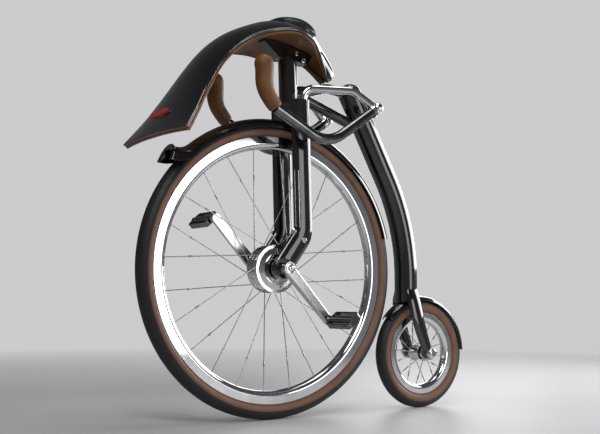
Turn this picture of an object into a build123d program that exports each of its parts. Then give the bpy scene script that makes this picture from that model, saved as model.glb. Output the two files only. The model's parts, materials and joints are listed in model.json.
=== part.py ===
from build123d import *
import os
from math import atan2, cos, radians, sin, sqrt, tan

os.makedirs("parts", exist_ok=True)

# High-wheel bicycle, millimetres. While it is drawn, x = 0 is the front axle, z = 0 the floor,
# +X the direction of travel, +Y the rider's left and +Z up. Heights above the big wheel are
# measured from the top of its tread. Every piece is moved to the rider's point when it is written.
FRONT_RADIUS = 370.0
REAR_RADIUS = 148.6
TYRE_GAP = 17.7
WHEEL_TOP = 2 * FRONT_RADIUS
REAR_TOP = 2 * REAR_RADIUS
REAR_X = -sqrt((FRONT_RADIUS + REAR_RADIUS + TYRE_GAP) ** 2 - (FRONT_RADIUS - REAR_RADIUS) ** 2)

# The rider's point lies on top of the seat pad.
RIDER_BACK = 45.0
RIDER_HEIGHT = 274.7

# Clearances between pieces that seat on each other, and between pieces that turn on each other.
SEAT_GAP = 0.3
RUN_FIT = 0.05

# Steering axis: its top leans forward.
STEER_LEAN = 2.3
STEER_BACK = 50.0


def steer_x(z):
    """x of the steering axis at a height."""
    return -STEER_BACK + (z - WHEEL_TOP) * tan(radians(STEER_LEAN))


def steer_plane(z):
    """Plane square to the steering axis at a height."""
    axis = (sin(radians(STEER_LEAN)), 0, cos(radians(STEER_LEAN)))
    return Plane(origin=(steer_x(z), 0, z), x_dir=(axis[2], 0, -axis[0]), z_dir=axis)


def bent_path(points, bend_radius):
    """Wire of straight runs through the points, with every corner bent to one radius."""
    points = [Vector(*p) for p in points]
    edges = []
    run_start = points[0]
    for before, corner, after in zip(points, points[1:], points[2:]):
        back = (before - corner).normalized()
        ahead = (after - corner).normalized()
        half_angle = radians(back.get_angle(ahead)) / 2
        reach = bend_radius / tan(half_angle)
        to_middle = bend_radius / sin(half_angle) - bend_radius
        bend_start = corner + back * reach
        bend_end = corner + ahead * reach
        bend_middle = corner + (back + ahead).normalized() * to_middle
        edges.append(Line(run_start, bend_start))
        edges.append(ThreePointArc(bend_start, bend_middle, bend_end))
        run_start = bend_end
    edges.append(Line(run_start, points[-1]))
    return Wire(edges)


def swept(section, path, x_dir=None):
    """Sweep a flat section, drawn about its own middle, along a path."""
    start = Plane(origin=path @ 0, x_dir=x_dir, z_dir=path % 0)
    return sweep(start * section, path=path)


def tube(points, bend_radius, radius):
    """Round bar through the points."""
    return swept(Circle(radius), bent_path(points, bend_radius))


def above_wheel(points):
    """Points whose heights are given from the top of the big wheel."""
    return [(x, y, WHEEL_TOP + height) for x, y, height in points]


def across(radius, y_from, y_to, x=0.0, z=0.0):
    """Round bar that lies across the bicycle."""
    middle = (y_from + y_to) / 2
    return Pos(x, middle, z) * Rot(90, 0, 0) * Cylinder(radius, y_to - y_from)


def mirrored(shape):
    """The same piece on the other side of the bicycle."""
    return mirror(shape, about=Plane.XZ)


def turned(profile, x, z):
    """Turn a closed profile, drawn as (distance from axle, side) edges, about a wheel's axle."""
    return Pos(x, 0, z) * revolve(make_face(profile), axis=Axis.Y)


def outline(points):
    """Straight edges through the points and back to the first."""
    return [Line(a, b) for a, b in zip(points, [*points[1:], points[0]])]


def tread_circle(half_width, height):
    """Radius of the round tread of a tyre, from its half width and its height over the belt's edge."""
    return (half_width ** 2 + height ** 2) / (2 * height)


def tyre_profile(outer, half_width, tread_height, bead_half, bead_radius, wall_start, wall_bulge):
    """Tyre section: a bead between the rim's flanges, two bulging walls and a round tread."""
    belt = outer - tread_height
    wall_mid = ((wall_start + belt) / 2 - wall_bulge, (bead_half + half_width) / 2 + wall_bulge)
    return [
        Line((bead_radius, -bead_half), (bead_radius, bead_half)),
        Line((bead_radius, bead_half), (wall_start, bead_half)),
        ThreePointArc((wall_start, bead_half), wall_mid, (belt, half_width)),
        ThreePointArc((belt, half_width), (outer, 0), (belt, -half_width)),
        ThreePointArc((belt, -half_width), (wall_mid[0], -wall_mid[1]), (wall_start, -bead_half)),
        Line((wall_start, -bead_half), (bead_radius, -bead_half)),
    ]


def rim_profile(outer, well, wall, depth, half_width):
    """Deep rim section: two flanges, a well for the bead between them, and a rounded inner side."""
    bed = outer - well
    inner = outer - depth
    shoulder = outer - depth / 2
    flange = half_width - wall
    return [
        Line((outer, half_width), (outer, flange)),
        Line((outer, flange), (bed, flange)),
        Line((bed, flange), (bed, -flange)),
        Line((bed, -flange), (outer, -flange)),
        Line((outer, -flange), (outer, -half_width)),
        Line((outer, -half_width), (shoulder, -half_width)),
        ThreePointArc((shoulder, -half_width), (inner, 0), (shoulder, half_width)),
        Line((shoulder, half_width), (outer, half_width)),
    ]


def gutter_line(radius, outer, half_angle, skirt):
    """Edges across a mudguard: an arc round the tread with a straight skirt at each end. The crown of
    the outer arc is at the origin, and the first coordinate points away from the axle."""
    side, rise = sin(radians(half_angle)), cos(radians(half_angle))
    arc_ends = [(radius * rise - outer, hand * radius * side) for hand in (-1, 1)]
    feet = [(x - skirt * side, y + hand * skirt * rise) for (x, y), hand in zip(arc_ends, (-1, 1))]
    arc = ThreePointArc(arc_ends[0], (radius - outer, 0), arc_ends[1])
    return [Line(feet[0], arc_ends[0]), arc, Line(arc_ends[1], feet[1])]


def gutter_section(inner, thickness, half_angle, skirt):
    """Mudguard section: the sheet between an outer and an inner line."""
    outer_line = gutter_line(inner + thickness, inner + thickness, half_angle, skirt)
    inner_line = gutter_line(inner, inner + thickness, half_angle, skirt)
    ends = [Line(outer_line[0] @ 0, inner_line[0] @ 0), Line(outer_line[-1] @ 1, inner_line[-1] @ 1)]
    return make_face([*outer_line, *inner_line, *ends])


def wheel_plane(radius, angle, axle_x, axle_z):
    """Plane through a wheel's axle at an angle above the forward direction, its origin at a radius."""
    out = (cos(radians(angle)), 0, sin(radians(angle)))
    place = (axle_x + radius * out[0], 0, axle_z + radius * out[2])
    return Plane(origin=place, x_dir=out, z_dir=(-out[2], 0, out[0]))


def gutter(section, crown, axle_x, axle_z, angle_from, angle_to):
    """Turn a mudguard section round a wheel's axle between two angles above the forward direction."""
    start = wheel_plane(crown, angle_from, axle_x, axle_z) * section
    axle = Axis((axle_x, 0, axle_z), (0, -1, 0))
    return revolve(start, axis=axle, revolution_arc=angle_to - angle_from)


def spokes(count, wire, flange_radius, flange_side, rim_radius, first, lead):
    """Straight wires from the hub's two flanges to the middle of the rim, side about. The wires of
    the left flange lead by an angle at the hub, and those of the right flange lag."""
    wires = []
    for i in range(count):
        hand = 1 if i % 2 == 0 else -1
        rim_angle = radians(first + 360.0 * i / count)
        hub_angle = rim_angle + hand * radians(lead)
        foot = Vector(flange_radius * cos(hub_angle), hand * flange_side, flange_radius * sin(hub_angle))
        head = Vector(rim_radius * cos(rim_angle), 0, rim_radius * sin(rim_angle))
        run = head - foot
        wires.append(extrude(Plane(origin=foot, z_dir=run) * RegularPolygon(wire, 6), amount=run.length))
    return Compound(wires)


def hub_profile(bore, barrel, flange, flange_side, flange_thick, shoulder, half):
    """Hub section: barrel, two thin flanges and a sloping shoulder down to each end face."""
    flange_in = flange_side - flange_thick / 2
    flange_out = flange_side + flange_thick / 2
    half_outline = [(barrel, flange_in), (flange, flange_in), (flange, flange_out), (barrel, flange_out),
                    (shoulder, half), (bore, half)]
    return outline([*half_outline, *[(radius, -side) for radius, side in reversed(half_outline)]])


parts = {}

# Front wheel. The cranks are fixed to its axle, which turns in the fork ends.
FRONT_TYRE_HALF = 22.5
FRONT_TREAD_HEIGHT = 22.0
FRONT_TYRE_HEIGHT = 37.5
FRONT_RIM_DEPTH = 32.5
FRONT_RIM_HALF = 14.5
RIM_WELL = 6.5
RIM_WALL = 2.5
WALL_BULGE = 2.2
FRONT_SPOKES = 24
FRONT_SPOKE_FIRST = 4.2
FRONT_SPOKE_LEAD = 29.0
SPOKE_RADIUS = 1.3
SPOKE_SEAT = 1.1
FRONT_AXLE_RADIUS = 10.0
HUB_BARREL_RADIUS = 52.0
HUB_FLANGE_RISE = 8.0
HUB_FLANGE_SIDE = 20.0
HUB_FLANGE_THICK = 5.0
HUB_SHOULDER_DROP = 12.0
HUB_CLEARANCE = 5.5

# Mudguards: the gap to the tread, the sheet, and how far the band wraps round the tyre.
GUARD_GAP = 6.0
GUARD_SHEET = 2.2
GUARD_HALF_ANGLE = 75.0
GUARD_SKIRT = 1.5

# Fork legs stand outside the mudguard.
LEG_GUARD_GAP = 4.0
LEG_HALF_LONG = 28.0
LEG_HALF_THICK = 11.0

front_rim_outer = FRONT_RADIUS - FRONT_TYRE_HEIGHT
front_rim_inner = front_rim_outer - FRONT_RIM_DEPTH
front_tread = tread_circle(FRONT_TYRE_HALF, FRONT_TREAD_HEIGHT)
guard_inner = front_tread + GUARD_GAP
guard_crown = FRONT_RADIUS + GUARD_GAP + GUARD_SHEET
guard_side = ((guard_inner + GUARD_SHEET) * sin(radians(GUARD_HALF_ANGLE))
              + GUARD_SKIRT * cos(radians(GUARD_HALF_ANGLE)))
leg_inner = guard_side + LEG_GUARD_GAP
leg_side = leg_inner + LEG_HALF_THICK
leg_outer = leg_inner + 2 * LEG_HALF_THICK
hub_half = leg_inner - HUB_CLEARANCE

front_tyre_section = tyre_profile(
    FRONT_RADIUS, FRONT_TYRE_HALF, FRONT_TREAD_HEIGHT, FRONT_RIM_HALF - RIM_WALL - SEAT_GAP,
    front_rim_outer - RIM_WELL + SEAT_GAP, front_rim_outer + SEAT_GAP, WALL_BULGE)
parts["front_tyre"] = turned(front_tyre_section, 0, FRONT_RADIUS)
parts["front_rim"] = turned(
    rim_profile(front_rim_outer, RIM_WELL, RIM_WALL, FRONT_RIM_DEPTH, FRONT_RIM_HALF), 0, FRONT_RADIUS)
front_flange = HUB_BARREL_RADIUS + HUB_FLANGE_RISE
parts["front_hub"] = turned(
    hub_profile(FRONT_AXLE_RADIUS + SEAT_GAP, HUB_BARREL_RADIUS, front_flange, HUB_FLANGE_SIDE,
                HUB_FLANGE_THICK, HUB_BARREL_RADIUS - HUB_SHOULDER_DROP, hub_half), 0, FRONT_RADIUS)
parts["front_spokes"] = Pos(0, 0, FRONT_RADIUS) * spokes(
    FRONT_SPOKES, SPOKE_RADIUS, front_flange + SPOKE_SEAT, HUB_FLANGE_SIDE,
    front_rim_inner - SPOKE_SEAT / 2, FRONT_SPOKE_FIRST, FRONT_SPOKE_LEAD)

CRANK_LENGTH = 175.0
CRANK_ANGLE = 226.0
CRANK_GAP = 10.0
CRANK_THICK = 14.0
CRANK_BOSS_RADIUS = 16.0
CRANK_BOSS_PROUD = 3.0
CRANK_EYE_RADIUS = 12.0
CRANK_WAIST = 0.95
CRANK_EDGE = 5.0
COLLAR_GAP = 1.5
COLLAR_RADIUS = 16.0
PEDAL_SPINDLE_RADIUS = 6.5
PEDAL_GAP = 8.0
PEDAL_WIDTH = 93.0
PEDAL_DEPTH = 46.0
PEDAL_THICK = 14.0
PEDAL_PLATE = 4.0
PEDAL_CORNER = 9.0
PEDAL_SLEEVE_WALL = 3.5
PEDAL_END_WALL = 3.0

crank_inner = leg_outer + CRANK_GAP
crank_outer = crank_inner + CRANK_THICK
pedal_inner = crank_outer + PEDAL_GAP
pedal_outer = pedal_inner + PEDAL_WIDTH

# The axle carries a collar on each side, between the fork end and the crank's boss.
axle = across(FRONT_AXLE_RADIUS, -crank_inner, crank_inner, 0, FRONT_RADIUS)
collar = across(COLLAR_RADIUS, leg_outer + COLLAR_GAP, crank_inner, 0, FRONT_RADIUS)
parts["front_axle"] = axle + collar + mirrored(collar)


def crank(angle):
    """Left crank with its pedal spindle, pointing at an angle above the forward direction."""
    arm_outline = make_hull([*Circle(CRANK_WAIST * CRANK_BOSS_RADIUS).edges(),
                             *(Pos(CRANK_LENGTH, 0) * Circle(CRANK_WAIST * CRANK_EYE_RADIUS)).edges()])
    arm = extrude(arm_outline, amount=CRANK_THICK)
    arm = fillet(arm.edges().group_by(Axis.Z)[0], CRANK_EDGE)
    arm = Pos(0, crank_outer, 0) * Rot(90, 0, 0) * arm
    arm += across(CRANK_BOSS_RADIUS, crank_inner + SEAT_GAP, crank_outer + CRANK_BOSS_PROUD)
    arm += across(CRANK_EYE_RADIUS, crank_inner, crank_outer, CRANK_LENGTH)
    arm += across(PEDAL_SPINDLE_RADIUS, crank_outer, pedal_outer - PEDAL_END_WALL - SEAT_GAP, CRANK_LENGTH)
    arm -= across(FRONT_AXLE_RADIUS, 0, crank_inner)
    return Pos(0, 0, FRONT_RADIUS) * Rot(0, -angle, 0) * arm


def pedal(angle):
    """Left pedal: a sleeve on the spindle inside a cage that lies square to the crank."""
    cage = RectangleRounded(PEDAL_DEPTH, PEDAL_WIDTH, PEDAL_CORNER)
    cage -= RectangleRounded(PEDAL_DEPTH - 2 * PEDAL_PLATE, PEDAL_WIDTH - 2 * PEDAL_PLATE,
                             PEDAL_CORNER - PEDAL_PLATE)
    body = Pos(0, (pedal_inner + pedal_outer) / 2, 0) * extrude(cage, amount=PEDAL_THICK / 2, both=True)
    body += across(PEDAL_SPINDLE_RADIUS + PEDAL_SLEEVE_WALL, pedal_inner, pedal_outer)
    body -= across(PEDAL_SPINDLE_RADIUS + RUN_FIT, pedal_inner - PEDAL_PLATE, pedal_outer - PEDAL_END_WALL)
    return Pos(0, 0, FRONT_RADIUS) * Rot(0, -angle, 0) * Pos(CRANK_LENGTH, 0, 0) * Rot(0, 90, 0) * body


parts["crank_left"] = crank(CRANK_ANGLE)
parts["crank_right"] = mirrored(crank(CRANK_ANGLE - 180))
parts["pedal_left"] = pedal(CRANK_ANGLE)
parts["pedal_right"] = mirrored(pedal(CRANK_ANGLE - 180))

# Rear wheel, on a fixed axle with a domed nut at each end.
REAR_TYRE_HALF = 18.0
REAR_TREAD_HEIGHT = 17.5
REAR_TYRE_HEIGHT = 37.9
REAR_RIM_DEPTH = 25.0
REAR_RIM_HALF = 13.0
REAR_SPOKES = 16
REAR_SPOKE_FIRST = 7.0
REAR_AXLE_RADIUS = 6.0
REAR_BARREL_RADIUS = 14.0
REAR_FLANGE_RISE = 8.0
REAR_FLANGE_SIDE = 18.0
REAR_FLANGE_THICK = 4.0
REAR_SHOULDER_DROP = 2.0
REAR_HUB_HALF = 27.0
REAR_HUB_CLEARANCE = 4.0
REAR_BLADE_HALF_THICK = 7.5
REAR_EYE_RADIUS = 17.0
NUT_RADIUS = 15.0
NUT_SKIRT = 8.0
NUT_ROUND = 7.0

rear_rim_outer = REAR_RADIUS - REAR_TYRE_HEIGHT
rear_rim_inner = rear_rim_outer - REAR_RIM_DEPTH
rear_flange = REAR_BARREL_RADIUS + REAR_FLANGE_RISE
rear_blade_inner = REAR_HUB_HALF + REAR_HUB_CLEARANCE
rear_blade_side = rear_blade_inner + REAR_BLADE_HALF_THICK
rear_blade_outer = rear_blade_inner + 2 * REAR_BLADE_HALF_THICK

rear_tyre_section = tyre_profile(
    REAR_RADIUS, REAR_TYRE_HALF, REAR_TREAD_HEIGHT, REAR_RIM_HALF - RIM_WALL - SEAT_GAP,
    rear_rim_outer - RIM_WELL + SEAT_GAP, rear_rim_outer + SEAT_GAP, WALL_BULGE)
parts["rear_tyre"] = turned(rear_tyre_section, REAR_X, REAR_RADIUS)
parts["rear_rim"] = turned(
    rim_profile(rear_rim_outer, RIM_WELL, RIM_WALL, REAR_RIM_DEPTH, REAR_RIM_HALF), REAR_X, REAR_RADIUS)
parts["rear_hub"] = turned(
    hub_profile(REAR_AXLE_RADIUS + RUN_FIT, REAR_BARREL_RADIUS, rear_flange, REAR_FLANGE_SIDE,
                REAR_FLANGE_THICK, REAR_BARREL_RADIUS - REAR_SHOULDER_DROP, REAR_HUB_HALF), REAR_X, REAR_RADIUS)
parts["rear_spokes"] = Pos(REAR_X, 0, REAR_RADIUS) * spokes(
    REAR_SPOKES, SPOKE_RADIUS, rear_flange + SPOKE_SEAT / 2, REAR_FLANGE_SIDE,
    rear_rim_inner - SPOKE_SEAT / 2, REAR_SPOKE_FIRST, 0.0)
parts["rear_axle"] = across(REAR_AXLE_RADIUS, -rear_blade_outer, rear_blade_outer, REAR_X, REAR_RADIUS)

nut_foot = rear_blade_outer + SEAT_GAP
nut = across(NUT_RADIUS, nut_foot, nut_foot + NUT_SKIRT + NUT_ROUND, REAR_X, REAR_RADIUS)
parts["rear_nut_left"] = fillet(nut.edges().sort_by(Axis.Y)[-1], NUT_ROUND)
parts["rear_nut_right"] = mirrored(parts["rear_nut_left"])

# Steering: legs, mudguard, crown with steerer, handlebars, looped stays and grips.
LEG_TOP = 59.0
LEG_TOP_BACK = 5.0
LEG_KNEE_BACK = 65.0
LEG_KNEE_UP = 88.0
LEG_KNEE_BEND = 60.0
FORK_EYE_RADIUS = 25.0
FORK_EYE_PROUD = 0.5

leg_top = WHEEL_TOP + LEG_TOP
leg_path = bent_path([(steer_x(leg_top) - LEG_TOP_BACK, leg_side, leg_top),
                      (-LEG_KNEE_BACK, leg_side, FRONT_RADIUS + LEG_KNEE_UP),
                      (0, leg_side, FRONT_RADIUS)], LEG_KNEE_BEND)
leg = swept(Ellipse(LEG_HALF_LONG, LEG_HALF_THICK), leg_path, x_dir=(1, 0, 0))
leg += across(FORK_EYE_RADIUS, leg_inner - FORK_EYE_PROUD, leg_outer + FORK_EYE_PROUD, 0, FRONT_RADIUS)
leg -= across(FRONT_AXLE_RADIUS + RUN_FIT, 0, crank_inner, 0, FRONT_RADIUS)
parts["fork_leg_left"] = leg
parts["fork_leg_right"] = mirrored(leg)

# The mudguard rises from the tyre to a flared lip in front, where its skirts grow deeper and its
# end is rolled round a wire.
GUARD_FRONT_ANGLE = 51.0
GUARD_REAR_ANGLE = 166.0
GUARD_LIP_ANGLE = 45.0
GUARD_LIP_RISE = 35.0
GUARD_LIP_SKIRT = 20.0
GUARD_ROLL_RADIUS = 3.5

guard = gutter(gutter_section(guard_inner, GUARD_SHEET, GUARD_HALF_ANGLE, GUARD_SKIRT), guard_crown,
               0, FRONT_RADIUS, GUARD_FRONT_ANGLE, GUARD_REAR_ANGLE)
guard_end = wheel_plane(guard_crown, GUARD_FRONT_ANGLE, 0, FRONT_RADIUS)
lip_end = wheel_plane(FRONT_RADIUS + GUARD_LIP_RISE, GUARD_LIP_ANGLE, 0, FRONT_RADIUS).origin
lip_path = TangentArc(guard_end.origin, lip_end, tangent=guard_end.z_dir * -1)
lip_sections = []
for share in (0.0, 0.5, 1.0):
    run = lip_path % share
    skirt = GUARD_SKIRT + (GUARD_LIP_SKIRT - GUARD_SKIRT) * share
    lip_plane = Plane(origin=lip_path @ share, x_dir=(-run.Z, 0, run.X), z_dir=run)
    lip_sections.append(lip_plane * gutter_section(guard_inner, GUARD_SHEET, GUARD_HALF_ANGLE, skirt))
roll_line = gutter_line(guard_inner + GUARD_SHEET / 2, guard_inner + GUARD_SHEET, GUARD_HALF_ANGLE,
                        GUARD_LIP_SKIRT)
roll = swept(Circle(GUARD_ROLL_RADIUS), lip_plane * Wire(roll_line))
parts["front_mudguard"] = guard + loft(lip_sections) + roll

STEERER_RADIUS = 17.0
CROWN_DROP = 2.0
CROWN_TOP = 54.0
CROWN_LONG = 40.0
CROWN_CORNER = 5.0
HEAD_GAP = 1.0
HEAD_TOP = 194.0
HEAD_WALL = 7.0
STEERER_SHORT = 20.0
STEERER_ROOM = 15.0

crown_low = WHEEL_TOP - CROWN_DROP
crown_top = WHEEL_TOP + CROWN_TOP
head_low = crown_top + HEAD_GAP
head_top = WHEEL_TOP + HEAD_TOP
crown = steer_plane(crown_low) * extrude(RectangleRounded(CROWN_LONG, 2 * leg_side, CROWN_CORNER),
                                         amount=crown_top - crown_low)
crown += steer_plane(crown_low) * extrude(Circle(STEERER_RADIUS), amount=head_top - STEERER_SHORT - crown_low)
crown = crown - leg - mirrored(leg) - across(guard_crown + SEAT_GAP, -leg_side, leg_side, 0, FRONT_RADIUS)
parts["fork_crown"] = crown

# Heights in these three lists are measured from the top of the big wheel.
BAR_POINTS = [(67, 116, 12), (-88, 114, -64), (-232, 110, 35)]
GRIP_POINTS = [(67, 116, 12), (99, 117, 50), (103, 118, 114)]
STAY_POINTS = [(-185, 93, 89), (-236, 109, 53)]
BAR_RADIUS = 13.5
BAR_BEND = 100.0
GRIP_FOOT_RADIUS = 18.5
GRIP_TOP_RADIUS = 24.5
GRIP_BEND = 55.0
STAY_RADIUS = 10.5
STAY_BEND = 26.0
STAY_BACK = 14.0
STAY_RISE = 30.0
STAY_SPREAD = 2.0
KNOB_COLLAR_RADIUS = 15.5
KNOB_COLLAR_LENGTH = 10.0
KNOB_NECK_RADIUS = 11.0
KNOB_BALL_RADIUS = 15.5
KNOB_LENGTH = 40.0

bar_run = above_wheel(BAR_POINTS)
grip_run = above_wheel(GRIP_POINTS)
stay_foot = (steer_x(leg_top) - STAY_BACK, leg_side, leg_top)
stay_bend = (stay_foot[0] - STAY_SPREAD, leg_side + STAY_SPREAD, leg_top + STAY_RISE)
grip_path = bent_path(grip_run, GRIP_BEND)
grip_rounds = []
for share in (0.0, 0.25, 0.5, 0.75, 1.0):
    grip_radius = GRIP_FOOT_RADIUS + (GRIP_TOP_RADIUS - GRIP_FOOT_RADIUS) * share
    grip_rounds.append(Plane(origin=grip_path @ share, z_dir=grip_path % share) * Circle(grip_radius))
grip = loft(grip_rounds) + Pos(*grip_run[-1]) * Sphere(GRIP_TOP_RADIUS)
bar = tube(bar_run, BAR_BEND, BAR_RADIUS) - grip
knob_axis = (Vector(*bar_run[-1]) - Vector(*bar_run[-2])).normalized()
knob_plane = Plane(origin=Vector(*bar_run[-1]) + knob_axis * SEAT_GAP, z_dir=knob_axis)
ball_middle = KNOB_LENGTH - KNOB_BALL_RADIUS
ball_start = ball_middle - sqrt(KNOB_BALL_RADIUS ** 2 - KNOB_NECK_RADIUS ** 2)
knob_profile = [
    *outline([(0, KNOB_LENGTH), (0, 0), (KNOB_COLLAR_RADIUS, 0), (KNOB_COLLAR_RADIUS, KNOB_COLLAR_LENGTH),
              (KNOB_NECK_RADIUS, KNOB_COLLAR_LENGTH), (KNOB_NECK_RADIUS, ball_start)])[:5],
    ThreePointArc((KNOB_NECK_RADIUS, ball_start), (KNOB_BALL_RADIUS, ball_middle), (0, KNOB_LENGTH)),
]
knob_turned = revolve(Plane.XZ * make_face(knob_profile), axis=Axis.Z)
knob = knob_plane * knob_turned
stay = tube([stay_foot, stay_bend, *above_wheel(STAY_POINTS)], STAY_BEND, STAY_RADIUS) - bar - knob - leg
for name, shape in (("bar", bar), ("stay", stay), ("grip", grip), ("bar_knob", knob)):
    parts[name + "_left"] = shape
    parts[name + "_right"] = mirrored(shape)

# Frame: head tube, two arms, and a backbone that clears the big wheel and bends down to the small one.
ARM_HEIGHT = 88.0
UPPER_ARM_POINTS = [(-118, 0, 96), (-172, 0, 111)]
UPPER_ARM_RADIUS = 13.0
UPPER_ARM_BEND = 60.0
LOWER_ARM_RADIUS = 14.0
LOWER_ARM_END = (-262, 0, 18)
BACKBONE_RADIUS = 31.0
BACKBONE_TOP_BACK = 247.0
BACKBONE_TOP_HEIGHT = 102.0
BACKBONE_KNEE_CLEAR = 78.5
BACKBONE_KNEE_ANGLE = 145.8
BACKBONE_FOOT_AHEAD = 46.5
BACKBONE_FOOT_HEIGHT = 52.0
BACKBONE_FOOT_LENGTH = 65.0

rear_tread = tread_circle(REAR_TYRE_HALF, REAR_TREAD_HEIGHT)
rear_guard_inner = rear_tread + GUARD_GAP
rear_guard_crown = REAR_RADIUS + GUARD_GAP + GUARD_SHEET

head_bore = steer_plane(crown_low) * extrude(Circle(STEERER_RADIUS + RUN_FIT),
                                             amount=head_top - STEERER_ROOM - crown_low)
head = steer_plane(head_low) * extrude(Circle(STEERER_RADIUS + HEAD_WALL), amount=head_top - head_low)
parts["head_tube"] = head - head_bore

spine_top = Vector(-BACKBONE_TOP_BACK, 0, WHEEL_TOP + BACKBONE_TOP_HEIGHT)
spine_knee = wheel_plane(FRONT_RADIUS + BACKBONE_KNEE_CLEAR, BACKBONE_KNEE_ANGLE, 0, FRONT_RADIUS).origin
spine_low = Vector(REAR_X + BACKBONE_FOOT_AHEAD, 0, REAR_TOP + BACKBONE_FOOT_HEIGHT)
spine_line = Line(spine_top, spine_knee)
spine_bend = TangentArc(spine_knee, spine_low, tangent=spine_line % 1)
spine_foot = Line(spine_low, spine_low + (spine_bend % 1) * BACKBONE_FOOT_LENGTH)
backbone = swept(Circle(BACKBONE_RADIUS), Wire([spine_line, spine_bend, spine_foot]))
backbone += Pos(spine_top) * Sphere(BACKBONE_RADIUS)
backbone -= across(rear_guard_crown + SEAT_GAP, -BACKBONE_RADIUS, BACKBONE_RADIUS, REAR_X, REAR_RADIUS)
parts["backbone"] = backbone

arm_start = (steer_x(WHEEL_TOP + ARM_HEIGHT), 0, WHEEL_TOP + ARM_HEIGHT)
upper_arm = tube([arm_start, *above_wheel(UPPER_ARM_POINTS), spine_top], UPPER_ARM_BEND, UPPER_ARM_RADIUS)
lower_arm = tube([arm_start, *above_wheel([LOWER_ARM_END])], UPPER_ARM_BEND, LOWER_ARM_RADIUS)
parts["upper_arm"] = upper_arm - head - backbone
parts["lower_arm"] = lower_arm - head - backbone - upper_arm

# Rear fork blade. Columns: distance ahead of the rear axle, share of the blade's full side distance,
# height over the axle as a share of the wheel's radius, half length and half thickness.
REAR_BLADE = [
    (46.0, 0.45, 1.26, 17.0, 7.5),
    (44.0, 0.87, 0.90, 21.0, 8.0),
    (31.0, 1.00, 0.52, 20.0, 7.5),
    (9.0, 1.00, 0.14, 17.0, 7.0),
    (0.0, 1.00, 0.00, 16.0, 7.0),
]
blade_middles = [Vector(REAR_X + ahead, share * rear_blade_side, REAR_RADIUS * (1 + height))
                 for ahead, share, height, _, _ in REAR_BLADE]
blade_sections = []
for i, (_, _, _, half_long, half_thick) in enumerate(REAR_BLADE):
    run = blade_middles[min(i + 1, len(REAR_BLADE) - 1)] - blade_middles[max(i - 1, 0)]
    blade_plane = Plane(origin=blade_middles[i], x_dir=(-run.Z, 0, run.X), z_dir=run)
    blade_sections.append(blade_plane * Ellipse(half_long, half_thick))
blade = loft(blade_sections)
blade += across(REAR_EYE_RADIUS, rear_blade_inner, rear_blade_outer, REAR_X, REAR_RADIUS)
blade -= across(REAR_AXLE_RADIUS + SEAT_GAP, 0, rear_blade_outer, REAR_X, REAR_RADIUS)
blade -= backbone
parts["rear_fork_left"] = blade
parts["rear_fork_right"] = mirrored(blade)

REAR_GUARD_FRONT_ANGLE = 39.5
REAR_GUARD_REAR_ANGLE = 178.0
REAR_GUARD_HALF_ANGLE = 55.0
parts["rear_mudguard"] = gutter(
    gutter_section(rear_guard_inner, GUARD_SHEET, REAR_GUARD_HALF_ANGLE, GUARD_SKIRT), rear_guard_crown,
    REAR_X, REAR_RADIUS, REAR_GUARD_FRONT_ANGLE, REAR_GUARD_REAR_ANGLE)

# Saddle: one long shell from the wide tongue in front over the seat to the tail, lined underneath.
# Columns: x and height of the edge line, half width, rise of the crown above the edges.
SADDLE_STATIONS = [
    (333.0, -67.0, 163.0, 8.0),
    (297.0, -19.0, 140.0, 20.0),
    (252.0, 47.0, 111.0, 24.0),
    (200.0, 121.0, 95.0, 25.0),
    (140.0, 176.0, 104.0, 28.0),
    (75.0, 202.0, 124.0, 36.0),
    (10.0, 210.0, 132.0, 45.0),
    (-42.0, 199.0, 116.0, 53.0),
    (-86.0, 188.0, 78.0, 50.0),
    (-122.0, 173.0, 45.0, 38.0),
    (-160.0, 125.0, 18.0, 31.0),
]
SHELL_THICK = 5.0
LINING_THICK = 10.0
LINING_TRIM = 20.0
UNDERSIDE_SHARE = 0.3


def saddle_plane(i):
    """Plane square to the saddle's run at one station."""
    before = SADDLE_STATIONS[max(i - 1, 0)]
    after = SADDLE_STATIONS[min(i + 1, len(SADDLE_STATIONS) - 1)]
    run = Vector(after[0] - before[0], 0, after[1] - before[1])
    x, height = SADDLE_STATIONS[i][:2]
    return Plane(origin=(x, 0, WHEEL_TOP + height), x_dir=(0, -1, 0), z_dir=run)


def saddle_circle(half, crown_rise):
    """Radius of the arc across the saddle, height of its centre over the edges, and its half angle."""
    radius = (half ** 2 + crown_rise ** 2) / (2 * crown_rise)
    centre = crown_rise - radius
    return radius, centre, atan2(half, -centre)


def saddle_arc(half, crown_rise, depth):
    """Arc across the saddle at a depth under its skin: left end, middle and right end."""
    radius, centre, reach = saddle_circle(half, crown_rise)
    side = (radius - depth) * sin(reach)
    level = centre + (radius - depth) * cos(reach)
    return (-side, level), (0, crown_rise - depth), (side, level)


def saddle_layer(top, bottom, underside=None):
    """One layer of the saddle between two depths under its skin. With an underside share given,
    the layer is filled towards a flatter underside."""
    sections = []
    for i, (_, _, half, crown_rise) in enumerate(SADDLE_STATIONS):
        upper = saddle_arc(half, crown_rise, top)
        lower = saddle_arc(half, crown_rise, bottom)
        if underside is not None:
            lower = lower[0], (0, lower[0][1] + underside * crown_rise), lower[2]
        sides = [Line(upper[2], lower[2]), Line(lower[0], upper[0])]
        sections.append(saddle_plane(i) * make_face([ThreePointArc(*upper), ThreePointArc(*lower), *sides]))
    return loft(sections)


lining_foot = SHELL_THICK + LINING_THICK
parts["saddle_shell"] = saddle_layer(0, SHELL_THICK)
lining = saddle_layer(SHELL_THICK, lining_foot, UNDERSIDE_SHARE)
parts["saddle_lining"] = lining - saddle_layer(-LINING_TRIM, SHELL_THICK + SEAT_GAP)
skin_space = saddle_layer(-SEAT_GAP, lining_foot)

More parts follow.
